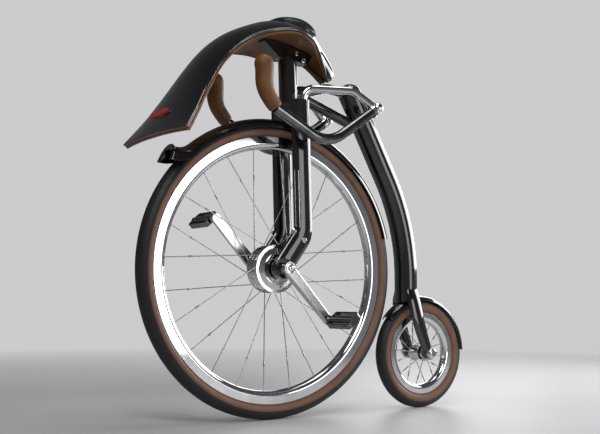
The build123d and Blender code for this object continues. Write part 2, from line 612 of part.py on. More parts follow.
# Seat pad. Columns: x, share of the saddle's width, height at the edge and at the middle.
PAD_SECTIONS = [
    (16.0, 0.46, 5.0, 8.0),
    (-14.0, 0.62, 8.0, 20.0),
    (-52.0, 0.68, 8.0, 26.0),
    (-90.0, 0.58, 3.0, 10.0),
]
PAD_ROOT = 4.0


def saddle_at(x):
    """Plane, half width and crown rise of the saddle at any x, between its stations."""
    i = max(k for k, station in enumerate(SADDLE_STATIONS[:-1]) if station[0] >= x)
    share = (SADDLE_STATIONS[i][0] - x) / (SADDLE_STATIONS[i][0] - SADDLE_STATIONS[i + 1][0])
    pair = zip(SADDLE_STATIONS[i], SADDLE_STATIONS[i + 1])
    _, height, half, crown_rise = [start + (end - start) * share for start, end in pair]
    run = saddle_plane(i).z_dir * (1 - share) + saddle_plane(i + 1).z_dir * share
    return Plane(origin=(x, 0, WHEEL_TOP + height), x_dir=(0, -1, 0), z_dir=run), half, crown_rise


pad_faces = []
for x, share, edge_height, middle_height in PAD_SECTIONS:
    pad_plane, half, crown_rise = saddle_at(x)
    radius, centre, reach = saddle_circle(half, crown_rise)
    side, rise = sin(share * reach), cos(share * reach)
    top_edge = (radius + edge_height) * side, centre + (radius + edge_height) * rise
    low_edge = (radius - PAD_ROOT) * side, centre + (radius - PAD_ROOT) * rise
    pad_faces.append(pad_plane * make_face([
        ThreePointArc((-top_edge[0], top_edge[1]), (0, crown_rise + middle_height), top_edge),
        Line(top_edge, low_edge),
        ThreePointArc(low_edge, (0, crown_rise - PAD_ROOT), (-low_edge[0], low_edge[1])),
        Line((-low_edge[0], low_edge[1]), (-top_edge[0], top_edge[1])),
    ]))
parts["seat_pad"] = loft(pad_faces) - skin_space

# Red lens on the tongue's ridge.
LENS_BEHIND_TIP = 32.0
LENS_HALF_WIDE = 47.0
LENS_HALF_HIGH = 11.0
LENS_PROUD = 5.0
LENS_ROOT = 8.0
lens_base, _, lens_crown = saddle_at(SADDLE_STATIONS[0][0] - LENS_BEHIND_TIP)
lens_plane = Plane(origin=lens_base.origin + lens_base.y_dir * (lens_crown - LENS_ROOT), x_dir=(0, 1, 0),
                   z_dir=lens_base.y_dir)
parts["red_lens"] = lens_plane * extrude(Ellipse(LENS_HALF_WIDE, LENS_HALF_HIGH),
                                         amount=LENS_ROOT + LENS_PROUD) - skin_space

# Beam under the saddle, from its front tip to behind the head tube.
BEAM_OUTLINE = [(36, 220), (-40, 222), (-104, 212), (-112, 188), (-102, 165), (-92, 160), (-70, 164),
                (-20, 166), (-10, 168), (36, 204)]
BEAM_HALF = 14.0
saddle_space = saddle_layer(-SEAT_GAP, lining_foot + SEAT_GAP, UNDERSIDE_SHARE)
beam_face = make_face(outline([(x, WHEEL_TOP + height) for x, height in BEAM_OUTLINE]))
beam = extrude(Plane.XZ * beam_face, amount=BEAM_HALF, both=True)
parts["saddle_beam"] = beam - saddle_space - head - upper_arm

for name, shape in parts.items():
    placed = Pos(RIDER_BACK, 0, -WHEEL_TOP - RIDER_HEIGHT) * shape
    placed.label = name
    export_step(placed, f"parts/{name}.step")
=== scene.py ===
import json
from math import atan2, cos, pi, radians, sin

import bmesh
import bpy
from mathutils import Matrix, Vector
from mathutils.bvhtree import BVHTree


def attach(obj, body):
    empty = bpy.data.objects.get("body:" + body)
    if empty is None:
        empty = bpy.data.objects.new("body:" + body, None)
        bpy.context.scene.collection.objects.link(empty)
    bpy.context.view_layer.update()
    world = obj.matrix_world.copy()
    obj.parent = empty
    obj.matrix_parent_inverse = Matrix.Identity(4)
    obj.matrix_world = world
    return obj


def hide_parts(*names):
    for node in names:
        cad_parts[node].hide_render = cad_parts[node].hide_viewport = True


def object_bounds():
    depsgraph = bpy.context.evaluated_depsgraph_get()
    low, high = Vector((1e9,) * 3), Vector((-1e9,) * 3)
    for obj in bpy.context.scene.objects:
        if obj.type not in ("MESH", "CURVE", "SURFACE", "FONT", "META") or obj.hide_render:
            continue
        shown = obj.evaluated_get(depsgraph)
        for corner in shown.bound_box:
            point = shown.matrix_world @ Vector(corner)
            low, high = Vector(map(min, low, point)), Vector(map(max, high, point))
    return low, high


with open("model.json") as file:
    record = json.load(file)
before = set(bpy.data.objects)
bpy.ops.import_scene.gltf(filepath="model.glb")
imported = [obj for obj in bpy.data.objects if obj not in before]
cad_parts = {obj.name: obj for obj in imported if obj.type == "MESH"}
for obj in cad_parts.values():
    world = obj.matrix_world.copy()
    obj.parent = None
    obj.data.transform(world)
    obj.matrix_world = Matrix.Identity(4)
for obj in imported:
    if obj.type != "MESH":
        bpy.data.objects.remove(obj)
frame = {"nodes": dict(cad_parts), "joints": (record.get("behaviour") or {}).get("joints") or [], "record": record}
cad_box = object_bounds()
nodes = frame["nodes"]
scene = bpy.context.scene

# The two axles, in metres. Places on the bicycle are given in millimetres from the big wheel's axle:
# forward, to the rider's left, and up.
axle_of = {joint["name"]: Vector(joint["pos_m"]) for joint in frame["joints"]}
FRONT_AXLE = axle_of["front_wheel_spin"]
REAR_AXLE = axle_of["rear_wheel_spin"]
FLOOR = cad_box[0][2]
MM = 0.001
SIDES = (("left", 1), ("right", -1))


def spot(ahead, left, up):
    """Point from millimetres ahead of, left of and above the big wheel's axle."""
    return FRONT_AXLE + Vector((ahead, left, up)) * MM


# Shader helpers.

BEVEL_SAMPLES = 4
EDGE_FROM = 0.88
EDGE_TO = 0.995
WHITE = (1, 1, 1)
NOTHING = (0, 0, 0)


def set_inputs(node, values):
    """Set a shader node's inputs by name, with _ for a space."""
    for name, value in values.items():
        node.inputs[name.replace("_", " ")].default_value = value


def add(tree, kind, **inputs):
    """New shader node with its inputs set by name."""
    node = tree.nodes.new(kind)
    set_inputs(node, inputs)
    return node


def feed(tree, node, **sources):
    """Link sources to a shader node's inputs by name, with _ for a space."""
    for name, source in sources.items():
        tree.links.new(source, node.inputs[name.replace("_", " ")])


def ramp(tree, source, stops):
    """Colour ramp over a value. Stops are (position, colour)."""
    node = tree.nodes.new("ShaderNodeValToRGB")
    elements = node.color_ramp.elements
    while len(elements) < len(stops):
        elements.new(0.5)
    for element, (position, colour) in zip(elements, stops):
        element.position = position
        element.color = (*colour, 1.0)
    feed(tree, node, Fac=source)
    return node.outputs["Color"]


def spread(tree, source, low, high, source_low=0.0, source_high=1.0):
    """Map a value from one range to another."""
    node = add(tree, "ShaderNodeMapRange", From_Min=source_low, From_Max=source_high, To_Min=low, To_Max=high)
    feed(tree, node, Value=source)
    return node.outputs["Result"]


def noise(tree, place, scale, detail=4.0):
    """Noise over object coordinates."""
    node = add(tree, "ShaderNodeTexNoise", Scale=scale, Detail=detail)
    feed(tree, node, Vector=place)
    return node.outputs["Fac"]


def bump(tree, height, strength, distance, below=None):
    """Bump from a height, over another normal where one is given."""
    node = add(tree, "ShaderNodeBump", Strength=strength, Distance=distance)
    feed(tree, node, Height=height)
    if below is not None:
        feed(tree, node, Normal=below)
    return node.outputs["Normal"]


def blended(tree, mode, share, first, second):
    """Mix of two colours, by a fixed share or by a linked one."""
    node = tree.nodes.new("ShaderNodeMixRGB")
    node.blend_type = mode
    if isinstance(share, float):
        set_inputs(node, {"Fac": share})
    else:
        feed(tree, node, Fac=share)
    feed(tree, node, Color1=first, Color2=second)
    return node.outputs["Color"]


def vector_math(tree, operation, first, second=None):
    """Node for a vector operation on a link, with a constant as its second input where one is given."""
    node = tree.nodes.new("ShaderNodeVectorMath")
    node.operation = operation
    tree.links.new(first, node.inputs[0])
    if second is not None:
        node.inputs[1].default_value = second
    return node


def rounded_edges(tree, radius):
    """Normal that rounds sharp edges by a radius in millimetres, and the share of edge at each point."""
    edge = add(tree, "ShaderNodeBevel", Radius=radius * MM)
    edge.samples = BEVEL_SAMPLES
    rounded = edge.outputs["Normal"]
    facing = vector_math(tree, "DOT_PRODUCT", rounded)
    tree.links.new(tree.nodes.new("ShaderNodeNewGeometry").outputs["Normal"], facing.inputs[1])
    return rounded, spread(tree, facing.outputs["Value"], 1.0, 0.0, EDGE_FROM, EDGE_TO)


def striped(tree, place, scale):
    """Even waves across the bicycle."""
    node = add(tree, "ShaderNodeTexWave", Scale=scale, Distortion=0.0)
    node.bands_direction = "Y"
    feed(tree, node, Vector=place)
    return node.outputs["Fac"]


def started(name, **inputs):
    """New material, its tree, its shader with inputs set by name, and the object coordinates."""
    material = bpy.data.materials.new(name)
    material.use_nodes = True
    tree = material.node_tree
    shader = tree.nodes["Principled BSDF"]
    set_inputs(shader, inputs)
    place = tree.nodes.new("ShaderNodeTexCoord").outputs["Object"]
    return material, tree, shader, place


# Materials.


def lacquer():
    """Deep gloss black lacquer with a faint orange peel, an uneven polish and slightly rubbed edges."""
    material, tree, shader, place = started(
        "gloss_black", Specular_IOR_Level=0.5, Coat_Weight=0.9, Coat_Roughness=0.03)
    rounded, edges = rounded_edges(tree, radius=1.6)
    clouds = noise(tree, place, scale=9.0)
    black = ramp(tree, clouds, [(0.3, (0.003, 0.003, 0.004)), (0.75, (0.009, 0.009, 0.010))])
    specks = noise(tree, place, scale=130.0)
    rubbed = ramp(tree, specks, [(0.35, (0.006, 0.006, 0.007)), (0.8, (0.05, 0.05, 0.052))])
    polish = spread(tree, noise(tree, place, scale=40.0), low=0.06, high=0.16)
    peel = noise(tree, place, scale=420.0, detail=2.0)
    feed(tree, shader, Base_Color=blended(tree, "MIX", edges, black, rubbed), Roughness=polish,
         Normal=bump(tree, peel, strength=0.04, distance=0.0002, below=rounded), Coat_Normal=rounded)
    return material


def plated(name, dark, light, rough_low, rough_high):
    """Plated metal with a cloudy polish, handled edges and hairline marks."""
    material, tree, shader, place = started(name, Metallic=1.0)
    rounded, edges = rounded_edges(tree, radius=0.9)
    polished = ramp(tree, noise(tree, place, scale=30.0), [(0.25, dark), (0.65, light)])
    handled = ramp(tree, noise(tree, place, scale=160.0), [(0.3, light), (0.75, dark)])
    polish = spread(tree, noise(tree, place, scale=75.0, detail=6.0), rough_low, rough_high)
    hairlines = noise(tree, place, scale=900.0, detail=2.0)
    feed(tree, shader, Base_Color=blended(tree, "MIX", edges, polished, handled), Roughness=polish,
         Normal=bump(tree, hairlines, strength=0.015, distance=0.0001, below=rounded))
    return material


def leather(name, deep, middle, worn, grain, rough_low, rough_high):
    """Leather with pebbled grain, painted shade darkening its creases, cloudy dye and paler worn edges."""
    material, tree, shader, place = started(name, Specular_IOR_Level=0.4)
    swirls = noise(tree, place, grain / 3, detail=3.0)
    wander = vector_math(tree, "MULTIPLY_ADD", swirls, (0.004, 0.004, 0.004))
    tree.links.new(place, wander.inputs[2])
    cells = add(tree, "ShaderNodeTexVoronoi", Scale=grain)
    cells.feature = "DISTANCE_TO_EDGE"
    feed(tree, cells, Vector=wander.outputs["Vector"])
    from_crease = cells.outputs["Distance"]
    pebbles = ramp(tree, from_crease, [(0.0, NOTHING), (0.14, WHITE)])
    # Painted shade: the colour darkens in the creases of the grain.
    crease_shade = ramp(tree, from_crease, [(0.0, (0.62, 0.58, 0.55)), (0.1, WHITE)])
    dye = ramp(tree, noise(tree, place, scale=14.0, detail=8.0), [(0.28, deep), (0.52, middle), (0.8, worn)])
    dye_and_crease_shade = blended(tree, "MULTIPLY", 0.8, dye, crease_shade)
    edges = tree.nodes.new("ShaderNodeNewGeometry").outputs["Pointiness"]
    rubbed = spread(tree, edges, low=0.0, high=0.55, source_low=0.515, source_high=0.57)
    pale = ramp(tree, noise(tree, place, scale=50.0), [(0.3, middle), (0.7, worn)])
    polish = spread(tree, noise(tree, place, scale=60.0), rough_low, rough_high)
    skin = bump(tree, pebbles, strength=0.25, distance=0.0004)
    dents = noise(tree, place, scale=30.0)
    feed(tree, shader, Base_Color=blended(tree, "MIX", rubbed, dye_and_crease_shade, pale), Roughness=polish,
         Normal=bump(tree, dents, strength=0.12, distance=0.002, below=skin))
    return material


def rubber_tyre(name, axle, wall_from, wall_to):
    """Tyre with a black ribbed tread, and tan cotton side walls between two radii in metres."""
    material, tree, shader, place = started(name)
    centred = vector_math(tree, "SUBTRACT", place, axle).outputs["Vector"]
    flat = vector_math(tree, "MULTIPLY", centred, (1, 0, 1)).outputs["Vector"]
    radius = vector_math(tree, "LENGTH", flat).outputs["Value"]
    share = spread(tree, radius, 0.0, 1.0, wall_from, wall_to)
    black = (0.010, 0.010, 0.011)
    tan = (0.170, 0.076, 0.045)
    pale = (0.240, 0.118, 0.073)
    bands = ramp(tree, share, [(0.0, black), (0.07, tan), (0.45, pale), (0.88, tan), (1.0, black)])
    clouds = ramp(tree, noise(tree, place, scale=45.0, detail=6.0), [(0.3, (0.62, 0.62, 0.62)), (0.7, WHITE)])
    threads = add(tree, "ShaderNodeTexWave", Scale=420.0, Distortion=1.5)
    threads.wave_type = "RINGS"
    threads.rings_direction = "Y"
    feed(tree, threads, Vector=centred)
    cotton = ramp(tree, threads.outputs["Fac"], [(0.0, (0.78, 0.78, 0.78)), (1.0, WHITE)])
    clouded = blended(tree, "MULTIPLY", 0.6, bands, clouds)
    polish = spread(tree, noise(tree, place, scale=120.0), low=0.42, high=0.64)
    ribbed = bump(tree, striped(tree, place, scale=70.0), strength=0.25, distance=0.0012)
    pores = noise(tree, place, scale=700.0)
    feed(tree, shader, Base_Color=blended(tree, "MULTIPLY", 0.6, clouded, cotton), Roughness=polish,
         Normal=bump(tree, pores, strength=0.15, distance=0.0003, below=ribbed))
    return material


def red_glass():
    """Deep red lens with fine prisms and a faint glow."""
    material, tree, shader, place = started(
        "red_lens", Specular_IOR_Level=0.3, Coat_Weight=0.35, Coat_Roughness=0.02,
        Emission_Color=(0.6, 0.008, 0.008, 1.0), Emission_Strength=0.10)
    clouds = noise(tree, place, scale=50.0)
    colour = ramp(tree, clouds, [(0.3, (0.20, 0.001, 0.002)), (0.7, (0.36, 0.003, 0.004))])
    polish = spread(tree, noise(tree, place, scale=90.0), low=0.10, high=0.22)
    prisms = striped(tree, place, scale=60.0)
    feed(tree, shader, Base_Color=colour, Roughness=polish,
         Normal=bump(tree, prisms, strength=0.12, distance=0.0006))
    return material


looks = {
    "gloss_black": lacquer(),
    "chrome": plated("chrome", dark=(0.64, 0.64, 0.65), light=(0.78, 0.78, 0.79),
                     rough_low=0.03, rough_high=0.10),
    "dark_chrome": plated("dark_chrome", dark=(0.10, 0.10, 0.105), light=(0.20, 0.20, 0.205),
                          rough_low=0.07, rough_high=0.20),
    "satin": plated("satin_chrome", dark=(0.54, 0.54, 0.55), light=(0.62, 0.62, 0.63),
                    rough_low=0.17, rough_high=0.21),
    "wire": plated("wire", dark=(0.34, 0.34, 0.35), light=(0.52, 0.52, 0.53),
                   rough_low=0.20, rough_high=0.36),
    "tan_leather": leather("tan_leather", deep=(0.115, 0.046, 0.013), middle=(0.205, 0.088, 0.026),
                           worn=(0.300, 0.145, 0.050), grain=330.0, rough_low=0.36, rough_high=0.56),
    "black_leather": leather("black_leather", deep=(0.006, 0.006, 0.007), middle=(0.012, 0.012, 0.013),
                             worn=(0.024, 0.023, 0.023), grain=360.0, rough_low=0.24, rough_high=0.42),
    "thread": leather("thread", deep=(0.22, 0.12, 0.05), middle=(0.30, 0.17, 0.07),
                      worn=(0.38, 0.23, 0.11), grain=900.0, rough_low=0.6, rough_high=0.8),
    "front_tyre": rubber_tyre("front_tyre_rubber", FRONT_AXLE, wall_from=0.3310, wall_to=0.3510),
    "rear_tyre": rubber_tyre("rear_tyre_rubber", REAR_AXLE, wall_from=0.1095, wall_to=0.1335),
    "red_lens": red_glass(),
}
# Nodes whose look differs from the one that their material slot names.
look_of_node = {
    "front_tyre": "front_tyre", "rear_tyre": "rear_tyre", "front_spokes": "wire", "rear_spokes": "wire",
    "crank_left": "satin", "crank_right": "satin",
}
for part in frame["record"]["subparts"]:
    look_name = look_of_node.get(part["node"], part["material_slot"])
    node_materials = nodes[part["node"]].data.materials
    node_materials.clear()
    node_materials.append(looks[look_name])


# Mesh helpers.

CREASE = radians(35)
CORD_ROUNDNESS = 5


def new_piece(name, mesh, body, look):
    """Put a finished mesh on a body."""
    piece = bpy.data.objects.new(name, mesh)
    scene.collection.objects.link(piece)
    mesh.materials.clear()
    mesh.materials.append(looks[look])
    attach(piece, body)
    return piece


def lathed(name, profile, places, sides):
    """Turn one profile of (radius, height) in millimetres at many places of (foot, axis)."""
    points = []
    faces = []
    for foot, axis in places:
        turned = Vector(axis).to_track_quat("Z", "Y").to_matrix()
        base = len(points)
        for radius, height in profile:
            for k in range(sides):
                angle = 2 * pi * k / sides
                local = Vector((radius * cos(angle), radius * sin(angle), height)) * MM
                points.append(foot + turned @ local)
        for ring in range(len(profile) - 1):
            low = base + ring * sides
            high = low + sides
            for k in range(sides):
                after = (k + 1) % sides
                faces.append((low + k, low + after, high + after, high + k))
        faces.append([base + k for k in reversed(range(sides))])
        faces.append([base + (len(profile) - 1) * sides + k for k in range(sides)])
    mesh = bpy.data.meshes.new(name)
    mesh.from_pydata(points, [], faces)
    mesh.shade_smooth()
    mesh.set_sharp_from_angle(angle=CREASE)
    return mesh


def evaluated(piece):
    """Mesh of an object with its modifiers."""
    graph = bpy.context.evaluated_depsgraph_get()
    return bpy.data.meshes.new_from_object(piece.evaluated_get(graph))


def corded(name, points, radius, closed=False):
    """Mesh of a round cord, with its radius in millimetres, through points in metres."""
    curve = bpy.data.curves.new(name, "CURVE")
    curve.dimensions = "3D"
    curve.bevel_depth = radius * MM
    curve.bevel_resolution = CORD_ROUNDNESS
    curve.use_fill_caps = True
    spline = curve.splines.new("POLY")
    spline.points.add(len(points) - 1)
    for control, point in zip(spline.points, points):
        control.co = (*point, 1.0)
    spline.use_cyclic_u = closed
    holder = bpy.data.objects.new(name, curve)
    scene.collection.objects.link(holder)
    mesh = evaluated(holder)
    bpy.data.objects.remove(holder)
    mesh.shade_smooth()
    return mesh


def joined(name, meshes):
    """One mesh out of several."""
    shape = bmesh.new()
    for mesh in meshes:
        shape.from_mesh(mesh)
    whole = bpy.data.meshes.new(name)
    shape.to_mesh(whole)
    shape.free()
    whole.shade_smooth()
    return whole


def tree_of(piece):
    """Search tree over an object's surface."""
    return BVHTree.FromObject(piece, bpy.context.evaluated_depsgraph_get())


def hit(surface, start, direction):
    """First point and normal of a surface along a direction, or None."""
    place, normal, _, _ = surface.ray_cast(start, Vector(direction).normalized())
    if place is None:
        return None
    return place, normal


def curve_through(points, count):
    """Smooth curve through points, as a polyline of so many parts."""
    smooth = []
    last = len(points) - 1
    for k in range(count + 1):
        along = last * k / count
        i = min(int(along), last - 1)
        t = along - i
        before = points[max(i - 1, 0)]
        start = points[i]
        end = points[i + 1]
        after = points[min(i + 2, last)]
        slope = end - before
        bend = 2 * before - 5 * start + 4 * end - after
        twist = 3 * start - before - 3 * end + after
        smooth.append(0.5 * (2 * start + slope * t + bend * t ** 2 + twist * t ** 3))
    return smooth


def stepped(points, step):
    """Points at even distances, in millimetres, along a polyline."""
    placed = []
    ahead = 0.0
    for start, end in zip(points, points[1:]):
        run = (end - start).length
        while ahead <= run:
            placed.append(start.lerp(end, ahead / run))
            ahead += step * MM
        ahead -= run
    return placed


# Soft pieces.

CLOTH_FRAMES = 20
CLOTH_PRESSURE = 4.0
SKIN_MARGIN = 0.2
UPWARD = 0.3
WELD_DISTANCE = 0.01


def welded(node):
    """Copy of a CAD node's mesh with its split points joined."""
    shape = bmesh.new()
    shape.from_mesh(nodes[node].data)
    bmesh.ops.remove_doubles(shape, verts=shape.verts, dist=WELD_DISTANCE * MM)
    mesh = bpy.data.meshes.new(node)
    shape.to_mesh(mesh)
    shape.free()
    return mesh


def swell(piece, cap):
    """Blow the piece up as cloth. No point moves further than the cap, in millimetres."""
    cloth = piece.modifiers.new("cloth", "CLOTH")
    cloth.settings.use_pressure = True
    cloth.settings.uniform_pressure_force = CLOTH_PRESSURE
    cloth.settings.effector_weights.gravity = 0.0
    for step in range(1, CLOTH_FRAMES + 1):
        scene.frame_set(step)
    swollen = evaluated(piece)
    piece.modifiers.clear()
    scene.frame_set(1)
    for point, moved in zip(piece.data.vertices, swollen.vertices):
        move = moved.co - point.co
        if move.length > cap * MM:
            move *= cap * MM / move.length
        point.co += move


def held_inside(piece, limit, proud):
    """Hold a soft piece inside a skin, but for the millimetres by which its top may stand proud."""
    for point in piece.data.vertices:
        near, normal, _, _ = limit.find_nearest(point.co)
        reach = (proud if normal.z > UPWARD else 0.0) - SKIN_MARGIN
        if (point.co - near).dot(normal) > reach * MM:
            point.co = near + normal * reach * MM


def smoothed(piece, rounds):
    """Even out a soft piece's surface."""
    shape = bmesh.new()
    shape.from_mesh(piece.data)
    for _ in range(rounds):
        bmesh.ops.smooth_vert(shape, verts=shape.verts, factor=0.5,
                              use_axis_x=True, use_axis_y=True, use_axis_z=True)
    shape.to_mesh(piece.data)
    shape.free()


def soft_copy(node, name, body, look, voxel, shrink, cap, proud, rounds):
    """Padded piece in the space of a CAD node: smaller, remeshed, blown up, and held inside the node's
    skin, but for the height by which its upper side may stand proud. Lengths in millimetres."""
    skin = welded(node)
    limit = BVHTree.FromPolygons([v.co for v in skin.vertices], [p.vertices for p in skin.polygons])
    normals = [v.normal.copy() for v in skin.vertices]
    for point, normal in zip(skin.vertices, normals):
        point.co -= normal * shrink * MM
    piece = new_piece(name, skin, body, look)
    remesh = piece.modifiers.new("remesh", "REMESH")
    remesh.mode = "VOXEL"
    remesh.voxel_size = voxel * MM
    piece.data = evaluated(piece)
    piece.modifiers.clear()
    swell(piece, cap)
    held_inside(piece, limit, proud)
    smoothed(piece, rounds)
    rounding = piece.modifiers.new("rounding", "SUBSURF")
    rounding.levels = 1
    piece.data = evaluated(piece)
    piece.modifiers.clear()
    piece.data.materials.clear()
    piece.data.materials.append(looks[look])
    piece.data.shade_smooth()
    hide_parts(node)
    return piece


soft_copy("seat_pad", "seat_cushion", "frame", "black_leather",
          voxel=3.5, shrink=2.0, cap=6.0, proud=2.0, rounds=8)
lining = soft_copy("saddle_lining", "saddle_leather", "frame", "tan_leather",
                   voxel=4.5, shrink=1.5, cap=3.0, proud=0.0, rounds=2)
grips = {}
for side, _ in SIDES:
    grips[side] = soft_copy("grip_" + side, "grip_leather_" + side, "steering", "tan_leather",
                            voxel=3.0, shrink=0.8, cap=1.5, proud=0.0, rounds=3)

# Saddle. Its stations are, in millimetres: ahead of the big wheel's axle, height of the edge over the tyre's
# top, half width, and rise of the crown over the edge.

TYRE_TOP = 370.0
SADDLE_STATIONS = [
    (333, -67, 163, 8), (297, -19, 140, 20), (252, 47, 111, 24), (200, 121, 95, 25),
    (140, 176, 104, 28), (75, 202, 124, 36), (10, 210, 132, 45), (-42, 199, 116, 53),
    (-86, 188, 78, 50), (-122, 173, 45, 38), (-160, 125, 18, 31),
]
SADDLE_TAIL = len(SADDLE_STATIONS) - 1
LENS_STATION = 1
EDGE_STEPS = 240
END_STEPS = 12
TAIL_SKIP = 3


def saddle_run(i):
    """Direction of the saddle's run at a station, and the direction out of its top."""
    before = SADDLE_STATIONS[max(i - 1, 0)]
    after = SADDLE_STATIONS[min(i + 1, SADDLE_TAIL)]
    run = Vector((after[0] - before[0], 0, after[1] - before[1])).normalized()
    return run, Vector((run.z, 0, -run.x))


def saddle_point(i, depth, share):
    """Point at a depth under the saddle's top, at a share of its half width to the left."""
    ahead, height, half, crown = SADDLE_STATIONS[i]
    radius = (half ** 2 + crown ** 2) / (2 * crown)
    angle = share * atan2(half, radius - crown)
    rise = crown - radius + (radius - depth) * cos(angle)
    foot = spot(ahead, (radius - depth) * sin(angle), TYRE_TOP + height)
    return foot + saddle_run(i)[1] * rise * MM


def saddle_line(depth, share, count):
    """Smooth line along the saddle, tongue to tail."""
    return curve_through([saddle_point(i, depth, share) for i in range(SADDLE_TAIL + 1)], count)


def saddle_loop(depth, share, pull):
    """Closed line round the saddle's edge at a depth under its top, pulled back a little at the tongue."""
    across = [share * (1 - k / END_STEPS) for k in range(1, 2 * END_STEPS)]
    back = saddle_run(0)[0] * pull * MM
    left_edge = saddle_line(depth, share, EDGE_STEPS)
    right_edge = saddle_line(depth, -share, EDGE_STEPS)
    tongue = [saddle_point(0, depth, place) + back for place in across]
    tail = [saddle_point(SADDLE_TAIL, depth, place) for place in across[TAIL_SKIP:-TAIL_SKIP:TAIL_SKIP]]
    return left_edge[:0:-1] + tongue + right_edge[1:] + tail[::-1]


welt_line = saddle_loop(depth=10.5, share=0.985, pull=3.0)
welt = corded("saddle_welt", welt_line, radius=4.5, closed=True)
new_piece("saddle_welt", welt, "frame", "tan_leather")

# The shell's edge is rolled: a polished round lip that is thicker than the shell.
lip_line = saddle_loop(depth=2.5, share=1.0, pull=0.5)
lip = corded("shell_lip", lip_line, radius=3.6, closed=True)
new_piece("shell_lip", lip, "frame", "dark_chrome")

# Seams on the lining and on the grips.
STITCH_PITCH = 9.0
STITCH_LIFT = 0.3
STITCH_SIDES = 6
STITCH_PROFILE = [(0.35, 0.0), (0.8, 0.8), (0.8, 5.2), (0.35, 6.0)]
SEAM_SHARE = 0.88
SEAM_STEPS = 160
SEAM_BELOW = 60.0


def sewn(surface, starts, targets):
    """Stitches, as places for a turned profile, where rays from starts to targets meet a surface."""
    met = [hit(surface, start, target - start) for start, target in zip(starts, targets)]
    line = stepped([found[0] + found[1] * STITCH_LIFT * MM for found in met if found], STITCH_PITCH)
    return [(start, end - start) for start, end in zip(line, line[1:])]


lining_surface = tree_of(lining)
lining_seams = []
for share in (SEAM_SHARE, -SEAM_SHARE):
    under = saddle_line(SEAM_BELOW, share, SEAM_STEPS)
    lining_seams += sewn(lining_surface, under, saddle_line(0.0, share, SEAM_STEPS))
stitches = lathed("lining_stitches", STITCH_PROFILE, lining_seams, STITCH_SIDES)
new_piece("lining_stitches", stitches, "frame", "thread")

# The grips' seams are on their inner sides. The line runs up the middle of a grip: ahead of the big wheel's
# axle, to the side, and over the tyre's top.
GRIP_LINE = [(67, 116, 12), (99, 117, 50), (103, 118, 108)]
GRIP_STEPS = 40
GRIP_SKIP = 4
GRIP_ASIDE = 60
for side, way in SIDES:
    grip_points = [spot(ahead, way * out, TYRE_TOP + over) for ahead, out, over in GRIP_LINE]
    middle = curve_through(grip_points, GRIP_STEPS)
    inner = [point - Vector((0, way * GRIP_ASIDE * MM, 0)) for point in middle]
    seam = sewn(tree_of(grips[side]), inner[GRIP_SKIP:], middle[GRIP_SKIP:])
    stitches_name = "grip_stitches_" + side
    stitches = lathed(stitches_name, STITCH_PROFILE, seam, STITCH_SIDES)
    new_piece(stitches_name, stitches, "steering", "thread")

# Welt round the foot of the seat pad: millimetres ahead of the axle and to the left.
SEAT_OUTLINE = [(18, 0), (17, 40), (10, 66), (-14, 80), (-34, 81), (-52, 76), (-76, 56), (-90, 32), (-92, 0)]
SEAT_STEPS = 60
OVER_SADDLE = 800
SEAT_WELT_LIFT = 1.6
shell_surface = tree_of(nodes["saddle_shell"])
half_line = curve_through([Vector((ahead, left, 0)) for ahead, left in SEAT_OUTLINE], SEAT_STEPS)
mirrored_half = [Vector((point.x, -point.y, 0)) for point in half_line[-2:0:-1]]
seat_line = []
for point in half_line + mirrored_half:
    place, normal = hit(shell_surface, spot(point.x, point.y, OVER_SADDLE), (0, 0, -1))
    seat_line.append(place + normal * SEAT_WELT_LIFT * MM)
seat_welt = corded("seat_welt", seat_line, radius=2.2, closed=True)
new_piece("seat_welt", seat_welt, "frame", "black_leather")

# Bolts with a round head and a socket.
BOLT_PROFILE = [
    (7.0, -1.0), (7.0, 0.8), (5.6, 1.2), (5.5, 2.6), (4.8, 3.4), (2.6, 3.4), (2.5, 1.6), (0.02, 1.6),
]
BOLT_SIDES = 20
BOLT_REACH = 60


def bolts_on(surfaces, spots):
    """Bolt places on the outermost of some surfaces. Spots are (point, outward direction)."""
    placed = []
    for point, outward in spots:
        out = Vector(outward).normalized()
        met = [hit(surface, point + out * BOLT_REACH * MM, -out) for surface in surfaces]
        found_places = [found[0] for found in met if found]
        placed.append((max(found_places, key=out.dot), out))
    return placed


# Beam bolts: millimetres ahead of the axle and above it, on both sides of the beam.
BEAM_SPOTS = ((-59, 555), (-85, 541))
BEAM_SIDE = 14
beam_surfaces = [tree_of(nodes[node]) for node in ("saddle_beam", "head_tube", "upper_arm")]
beam_places = []
for _, way in SIDES:
    beam_spots = [(spot(ahead, way * BEAM_SIDE, over), (0, way, 0)) for ahead, over in BEAM_SPOTS]
    beam_places += bolts_on(beam_surfaces, beam_spots)
beam_bolts = lathed("beam_bolts", BOLT_PROFILE, beam_places, BOLT_SIDES)
new_piece("beam_bolts", beam_bolts, "frame", "chrome")

# Fork blades: half length and half thickness of their oval, and their middle line, which leans forward as it
# rises. Each has a bolt on its side, one on its front, and two bright inlaid lines.
LEG_SIDE = 45.0
LEG_LONG = 28.0
LEG_THICK = 11.0
LEG_KNEE_AHEAD = -65.0
LEG_KNEE_UP = 88.0
LEG_LEAN = 0.0363
INLAY_FROM = 104.0
INLAY_TO = 247.0
INLAY_STEPS = 24
INLAY_REACH = 30
INLAY_ANGLES = (radians(24), radians(53))


def inlay_line(surface, way, angle):
    """Line up a fork blade, at an angle round its oval from straight ahead."""
    out = Vector((cos(angle) / LEG_LONG, way * sin(angle) / LEG_THICK, 0)).normalized()
    line = []
    for k in range(INLAY_STEPS + 1):
        over = INLAY_FROM + (INLAY_TO - INLAY_FROM) * k / INLAY_STEPS
        ahead = LEG_KNEE_AHEAD + (over - LEG_KNEE_UP) * LEG_LEAN + LEG_LONG * cos(angle)
        point = spot(ahead, way * (LEG_SIDE + LEG_THICK * sin(angle)), over)
        line.append(hit(surface, point + out * INLAY_REACH * MM, -out)[0])
    return line


